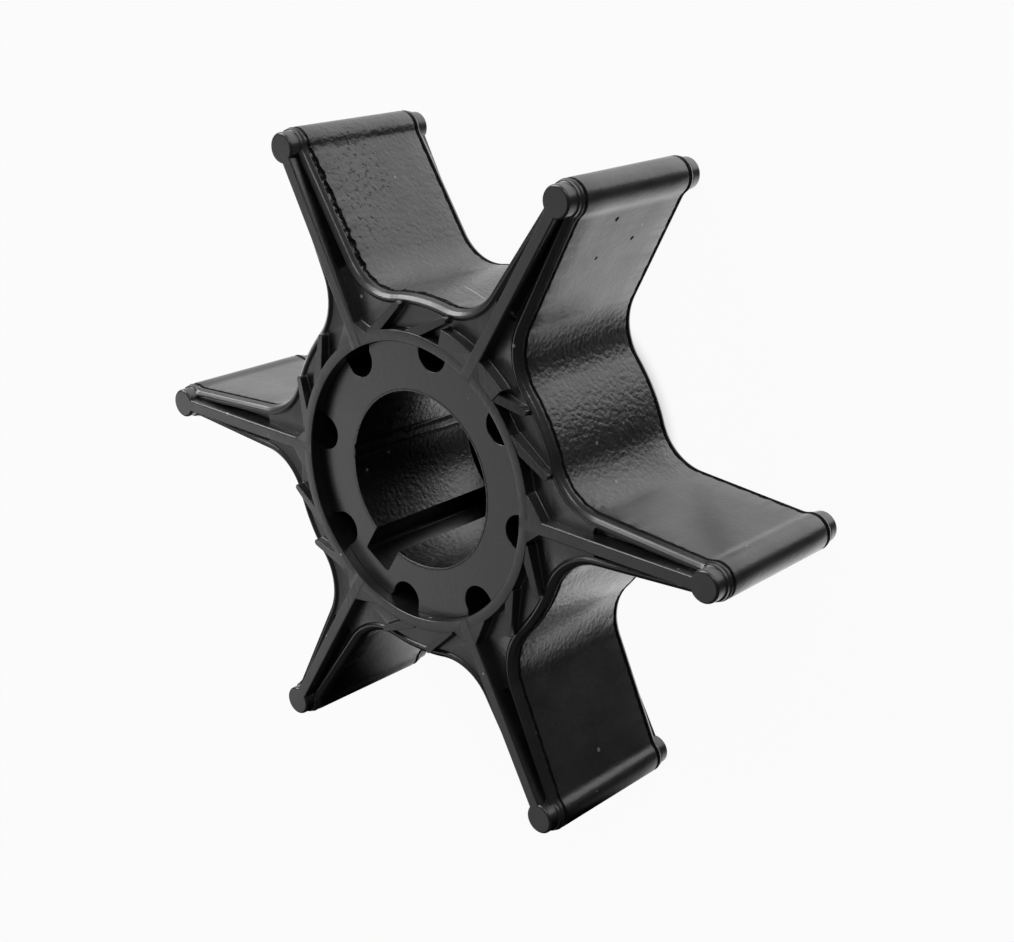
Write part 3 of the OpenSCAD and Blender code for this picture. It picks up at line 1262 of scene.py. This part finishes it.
@dataclass(frozen=True)
class MouldedPlastic:
    """Glass-filled nylon from a polished mould: dark, smooth on its faces, with orange peel in the bore."""

    base: str = "#0a0a0b"
    dust: Dust = Dust("#b4b3ae", 1.4)
    cloud_mm: float = 4.0
    roughness: tuple[float, float] = (0.25, 0.34)
    # nylon's own index is about 1.53; the glass in it and the wet look of its faces are given by the first one
    ior: float = 1.85
    skin_ior: float = 1.5
    skin_roughness: float = 0.3
    peel_mm: float = 0.42
    peel_height_mm: float = 0.055
    # the peel is full on the bore's wall and weak outside it
    peel_end: Fade = Fade((7.15 + 0.14) * MM, (7.15 + 0.24) * MM, 1.0, 0.15)

    def build(self) -> bpy.types.Material:
        """Makes the material.

        Returns:
            The material.
        """
        material, tree, place = new_material("moulded_glass_filled_nylon")
        peel, cloud = (add(tree, "TexNoise", {
            "Vector": place, "Scale": 1 / (size * MM), "Detail": 3.0, "Roughness": rough})["Fac"]
            for size, rough in ((self.peel_mm, 0.55), (self.cloud_mm, 0.6)))
        smooth_part, dull_part = self.roughness
        rough = add(tree, "MapRange", {
            "Value": cloud, "From Min": 0.3, "From Max": 0.7, "To Min": smooth_part, "To Max": dull_part})[0]
        flat = add(tree, "VectorMath", {0: place, 1: (1, 1, 0)}, operation="MULTIPLY")[0]
        r = add(tree, "VectorMath", {0: flat}, operation="LENGTH")["Value"]
        share = add(tree, "MapRange", self.peel_end.over(r), **SOFT)[0]
        height = add(tree, "Math", {0: peel, 1: share}, operation="MULTIPLY")[0]
        bump = add(tree, "Bump", {"Height": height, "Strength": 1.0, "Distance": self.peel_height_mm * MM})[0]
        dusty = add(tree, "Mix", {
            0: self.dust.of(tree, place), 6: linear(self.base), 7: linear(self.dust.colour)}, data_type="RGBA")[2]
        shader = add(tree, "BsdfPrincipled", {
            "Base Color": dusty, "Roughness": rough, "Normal": bump, "IOR": self.ior,
            "Coat Weight": 1.0, "Coat Roughness": self.skin_roughness, "Coat IOR": self.skin_ior,
            "Coat Normal": bump})
        add(tree, "OutputMaterial", {"Surface": shader[0]})
        return material


# ---- studio -------------------------------------------------------------------------------------


@dataclass(frozen=True)
class Lamp:
    """A soft area lamp that looks at the middle of the object; angles in degrees, lengths in metres."""

    name: str
    azimuth: float
    elevation: float
    distance: float
    wide: float
    tall: float
    radiance: float

    def build(self) -> bpy.types.Object:
        """Makes the lamp.

        Its power is radiance times pi times its area, so a mirror that faces it shows that radiance.

        Returns:
            The lamp's object.
        """
        data = bpy.data.lights.new(self.name, "AREA")
        data.shape = "RECTANGLE"
        data.size, data.size_y = self.wide, self.tall
        data.energy = self.radiance * math.pi * self.wide * self.tall
        made = bpy.data.objects.new(self.name, data)
        a, e = math.radians(self.azimuth), math.radians(self.elevation)
        out = Vector((math.cos(a) * math.cos(e), math.sin(a) * math.cos(e), math.sin(e)))
        made.location = out * self.distance + Vector((0, 0, MIDDLE * MM))
        made.rotation_mode = "QUATERNION"
        made.rotation_quaternion = out.to_track_quat("Z", "Y")
        bpy.context.scene.collection.objects.link(made)
        return made


@dataclass(frozen=True)
class Spot:
    """An oval place on the floor through which the world looks brighter or darker than round it.

    at and half are its middle and half axes in millimetres, turn its turn in degrees, level its brightness, core
    the share of it that has that level.
    """

    at: tuple[float, float]
    half: tuple[float, float]
    turn: float
    level: float
    core: float

    def over(self, tree: Tree, place: Socket, before: Level) -> Socket:
        """Brings the floor to the spot's level inside it, with a soft edge.

        Args:
            tree: the tree that gets the nodes.
            place: the place on the floor.
            before: how bright the floor is without the spot.

        Returns:
            The socket with the new brightness.
        """
        own = add(tree, "Mapping", {
            "Vector": place, "Location": (self.at[0] * MM, self.at[1] * MM, 0.0),
            "Rotation": (0.0, 0.0, math.radians(self.turn)),
            "Scale": (self.half[0] * MM, self.half[1] * MM, 1.0)}, vector_type="TEXTURE")[0]
        away = add(tree, "VectorMath", {0: own}, operation="LENGTH")["Value"]
        out = add(tree, "MapRange", Fade(self.core, 1.0).over(away), **SOFT)[0]
        return add(tree, "Mix", {0: out, 2: self.level, 3: before})[0]


@dataclass(frozen=True)
class Studio:
    """Pale floor, world, lamps and camera; lengths in metres."""

    lamps: tuple[Lamp, ...] = (
        Lamp("key", 66.0, 36.0, 0.7, 0.34, 0.30, 2.3),
        Lamp("rim", 139.0, 22.0, 0.7, 0.24, 0.44, 4.8),
        Lamp("low_rim", 119.0, 20.0, 0.7, 0.24, 0.44, 2.4),
        Lamp("sheen", 208.0, 43.0, 0.7, 0.50, 0.38, 0.34),
        Lamp("low_sheen", 203.0, 29.0, 0.7, 0.26, 0.18, 0.72),
    )
    floor_half: float = 1.5
    floor_z: float = -0.00005
    floor_colour: str = "#f2f2f0"
    shaded_colour: str = "#2c2c2c"
    camera_white: float = 0.95
    world_level: float = 0.05
    # shades on the floor: round the foot of the object, on the side without lamps, and two spots
    foot_shade: Fade = Fade(0.0118, 0.0150)
    side_shade: Fade = Fade(-0.035, -0.019)
    bore_light: Spot = Spot((-4.8, 0.3), (5.2, 5.2), 0.0, 1.0, 0.45)
    root_shade: Spot = Spot((20.6, 9.0), (7.0, 2.1), 44.0, 0.25, 0.3)
    # the dark flag beside the object, by azimuth: its two soft edges, and the far side's fall behind it
    flag_right: Fade = Fade(math.radians(-5.0), math.radians(-76.0))
    flag_left: Fade = Fade(math.radians(25.0), math.radians(42.0))
    far_side: Fade = Fade(math.radians(100.0), math.radians(140.0), 1.0, 0.68)
    below: Fade = Fade(-0.02, -0.15)

    @staticmethod
    def mirrored(tree: Tree, path: Sockets) -> Socket:
        """1 for glossy and transmission rays, 0 for all others."""
        return add(tree, "Math", {0: path["Is Glossy Ray"], 1: path["Is Transmission Ray"]}, operation="MAXIMUM")[0]

    def floor(self) -> bpy.types.Object:
        """Makes the pale floor, white to the camera, with the object's shadow left in it.

        Returns:
            The floor's object.
        """
        h, z = self.floor_half, self.floor_z
        mesh = bpy.data.meshes.new("floor")
        mesh.from_pydata([(-h, -h, z), (h, -h, z), (h, h, z), (-h, h, z)], [], [(0, 1, 2, 3)])
        piece = bpy.data.objects.new("floor", mesh)
        bpy.context.scene.collection.objects.link(piece)
        material, tree, place = new_material("pale_floor")
        path = add(tree, "LightPath")
        away = add(tree, "VectorMath", {0: place}, operation="LENGTH")["Value"]
        outside = add(tree, "MapRange", self.foot_shade.over(away), **SOFT)[0]
        tone = add(tree, "Mix", {
            0: outside, 6: linear(self.shaded_colour), 7: linear(self.floor_colour)}, data_type="RGBA")[2]
        paper = add(tree, "BsdfDiffuse", {"Color": tone})[0]
        clear = add(tree, "BsdfTransparent", {"Color": self.clearness(tree, place, outside)})[0]
        seen = add(tree, "MixShader", {0: self.mirrored(tree, path), 1: paper, 2: clear})[0]
        white = add(tree, "Emission", {"Color": (1, 1, 1, 1), "Strength": 1.0})[0]
        share = add(tree, "Math", {0: path["Is Camera Ray"], 1: self.camera_white}, operation="MULTIPLY")[0]
        share = add(tree, "Math", {0: share, 1: outside}, operation="MULTIPLY")[0]
        add(tree, "OutputMaterial", {"Surface": add(tree, "MixShader", {0: share, 1: seen, 2: white})[0]})
        mesh.materials.append(material)
        return piece

    def clearness(self, tree: Tree, place: Socket, outside: Socket) -> Socket:
        """How much of the world's white glossy and transmission rays see through the floor at a place.

        They see it on the lamps' side and through the bore, and it fades out towards the shaded side.

        Args:
            tree: the tree that gets the nodes.
            place: the place on the floor.
            outside: 0 under the object and 1 elsewhere.

        Returns:
            The socket with the share.
        """
        y = add(tree, "SeparateXYZ", {0: place})["Y"]
        lit = add(tree, "MapRange", self.side_shade.over(y), **SOFT)[0]
        lit = add(tree, "Math", {0: lit, 1: outside}, operation="MULTIPLY")[0]
        lit = self.root_shade.over(tree, place, lit)
        return add(tree, "Math", {0: lit, 1: self.bore_light.over(tree, place, 0.0)}, operation="MAXIMUM")[0]

    def world(self) -> None:
        """Makes the world: white to the camera, white with a dark flag to glossy rays from below, else even."""
        world = bpy.data.worlds.new("studio")
        bpy.context.scene.world = world
        world.use_nodes = True
        tree = world.node_tree
        tree.nodes.clear()
        path = add(tree, "LightPath")
        axes = add(tree, "SeparateXYZ", {0: add(tree, "TexCoord")["Generated"]})
        azimuth = add(tree, "Math", {0: axes["Y"], 1: axes["X"]}, operation="ARCTAN2")[0]
        right, left, far, below = (add(tree, "MapRange", fade.over(value), **SOFT)[0] for fade, value in (
            (self.flag_right, azimuth), (self.flag_left, azimuth), (self.far_side, azimuth), (self.below, axes["Z"])))
        level = add(tree, "Math", {0: right, 1: left}, operation="MAXIMUM")[0]
        for share in (far, below, self.mirrored(tree, path)):
            level = add(tree, "Math", {0: level, 1: share}, operation="MULTIPLY")[0]
        for least in (self.world_level, path["Is Camera Ray"]):
            level = add(tree, "Math", {0: level, 1: least}, operation="MAXIMUM")[0]
        light = add(tree, "Background", {"Color": (1, 1, 1, 1), "Strength": level})[0]
        add(tree, "OutputWorld", {"Surface": light})

    def camera(self) -> bpy.types.Object:
        """Makes the camera at the photograph's viewing angle.

        Returns:
            The camera's object.
        """
        data = bpy.data.cameras.new("camera")
        data.lens, data.sensor_width = 60.78322, 36.0
        data.clip_start, data.clip_end = 0.01, 10.0
        made = bpy.data.objects.new("camera", data)
        right = Vector((0.746376, 0.016473, -0.665321))
        up = Vector((-0.247365, 0.934941, -0.254353))
        back = Vector((0.617846, 0.35442, 0.701892))
        turn = Matrix((right, up, back)).transposed().to_4x4()
        turn.translation = Vector((87.848, 48.3304, 103.5264)) * MM
        made.matrix_world = turn
        bpy.context.scene.collection.objects.link(made)
        bpy.context.scene.camera = made
        return made

    def build(self) -> None:
        """Makes everything round the object."""
        bpy.context.scene.view_settings.view_transform = "Standard"
        self.floor()
        self.world()
        for lamp in self.lamps:
            lamp.build()
        self.camera()


def report(piece: bpy.types.Object) -> None:
    """Says what a finished piece holds.

    Args:
        piece: the piece.
    """
    mesh = piece.data
    mesh.calc_loop_triangles()
    log.info("%s: %d points, %d triangles", piece.name, len(mesh.vertices), len(mesh.loop_triangles))


def main() -> None:
    """Builds the studio, the rubber body and the insert, in that order."""
    logging.basicConfig(level=logging.INFO, format="%(name)s: %(message)s")
    Studio().build()
    rubber = RubberBody()
    body = rubber.build()
    rubber.dress(body, MouldedRubber())
    report(body)
    bush = HubInsert()
    insert = bush.build()
    bush.dress(insert, MouldedPlastic())
    report(insert)


if __name__ == "__main__":
    main()
